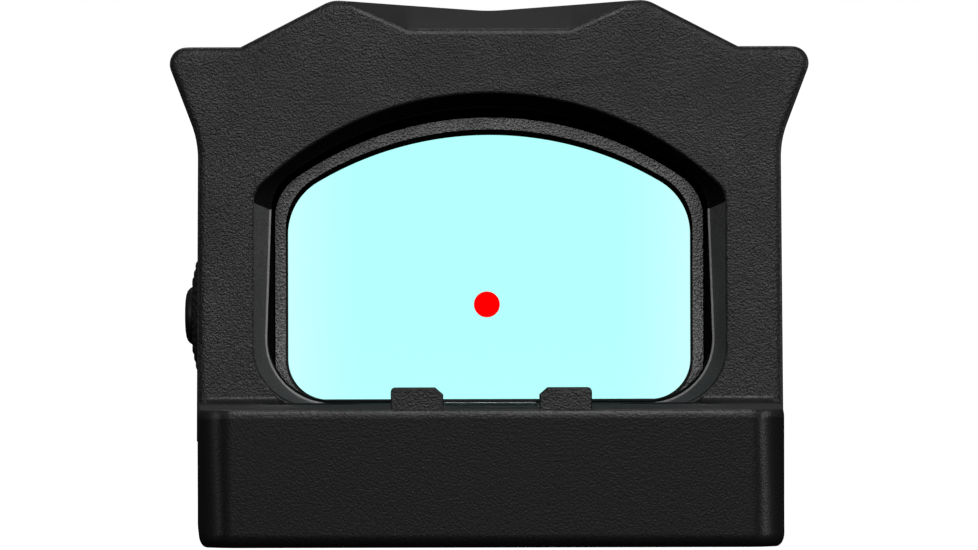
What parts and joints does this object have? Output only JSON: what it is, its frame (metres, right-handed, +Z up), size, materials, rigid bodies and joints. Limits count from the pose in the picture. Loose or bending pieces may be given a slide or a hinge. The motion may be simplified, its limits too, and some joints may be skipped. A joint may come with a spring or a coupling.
{
  "type": "red dot sight",
  "caption": "Compact open reflex red dot sight with an arched lens hood, flared ears, side button, side-loading battery tray and windage and elevation screws.",
  "frame": {"origin": "middle of the flat underside, at the centre of the overall box", "axes": "+Z up, +Y the way the shooter or observer looks through it, +X to their right"},
  "size_m": [0.0334, 0.045, 0.028],
  "materials": {
    "anodised_housing": "bead-blasted, black anodised",
    "bezel_metal": "machined, dark anodised",
    "black_steel": "black oxide",
    "steel": "satin",
    "cell_can": "nickel plated",
    "brass": "turned",
    "coated_glass": "dichroic coated",
    "clear_glass": "polished",
    "rubber": "matte",
    "button_rubber": "satin black",
    "black_plastic": "moulded",
    "circuit_board": "solder mask",
    "polyimide": "flexible circuit",
    "emitter_package": "lit, red"
  },
  "bodies": {
    "housing": {"housing": "anodised_housing", "lens_bezel": "bezel_metal", "lens_seal": "rubber", "lens_rear_element": "coated_glass", "lens_front_element": "coated_glass", "emitter_window": "clear_glass", "carriage_guide_pin_left": "steel", "carriage_guide_pin_right": "steel", "elevation_screw_o_ring": "rubber", "elevation_clip": "steel", "windage_screw_o_ring": "rubber", "windage_clip": "steel", "button_surround": "black_plastic", "button_seal": "rubber", "tactile_switch": "black_plastic", "switch_flex": "polyimide", "control_board": "circuit_board", "microcontroller": "black_plastic", "flex_connector": "black_plastic", "bottom_cover": "anodised_housing", "bottom_gasket": "rubber", "bottom_cover_screw_1": "black_steel", "bottom_cover_screw_2": "black_steel", "bottom_cover_screw_3": "black_steel", "bottom_cover_screw_4": "black_steel", "board_screw_left": "steel", "board_screw_right": "steel", "battery_contact": "brass", "ground_spring": "steel"},
    "elevation_screw": {"elevation_screw": "black_steel"},
    "elevation_carriage": {"elevation_carriage": "brass", "elevation_spring": "steel"},
    "led_holder": {"led_holder": "brass", "led_emitter": "emitter_package", "led_flex": "polyimide"},
    "windage_screw": {"windage_screw": "black_steel"},
    "windage_nut": {"windage_nut": "brass", "windage_spring": "steel"},
    "power_button": {"power_button": "button_rubber"},
    "battery_tray": {"battery_tray": "anodised_housing", "coin_cell": "cell_can", "tray_seal": "rubber"},
    "tray_screw": {"tray_screw": "black_steel"}
  },
  "joints": [
    {"name": "elevation_screw_turn", "type": "hinge", "parent": "housing", "child": "elevation_screw", "pos_m": [0, -0.0165, 0.0065], "axis": [0, 0, 1], "range_deg": [-360, 360]},
    {"name": "elevation_travel", "type": "slide", "parent": "housing", "child": "elevation_carriage", "axis": [0, 0, 1], "range_m": [-0.00025, 0.00025], "deforming": ["elevation_spring"]},
    {"name": "windage_screw_turn", "type": "hinge", "parent": "housing", "child": "windage_screw", "pos_m": [0.0145, -0.0108, 0.003], "axis": [1, 0, 0], "range_deg": [-360, 360]},
    {"name": "windage_nut_travel", "type": "slide", "parent": "housing", "child": "windage_nut", "axis": [1, 0, 0], "range_m": [-0.00025, 0.00025]},
    {"name": "led_holder_travel", "type": "slide", "parent": "elevation_carriage", "child": "led_holder", "axis": [1, 0, 0], "range_m": [-0.00025, 0.00025]},
    {"name": "power_button_press", "type": "slide", "parent": "housing", "child": "power_button", "axis": [1, 0, 0], "range_m": [0, 0.0003], "stiffness_N_per_m": 900, "springref_m": -0.0005},
    {"name": "battery_tray_slide", "type": "slide", "parent": "housing", "child": "battery_tray", "axis": [1, 0, 0], "range_m": [0, 0.02]},
    {"name": "tray_screw_turn", "type": "hinge", "parent": "battery_tray", "child": "tray_screw", "pos_m": [0.0145, 0.02, 0.0032], "axis": [1, 0, 0], "continuous": true}
  ],
  "couplings": [
    {"joint": "elevation_screw_turn", "follows": "elevation_travel", "rad_per_m": -25133},
    {"joint": "windage_screw_turn", "follows": "windage_nut_travel", "rad_per_m": -25133},
    {"joint": "led_holder_travel", "follows": "windage_nut_travel", "ratio": 1}
  ]
}
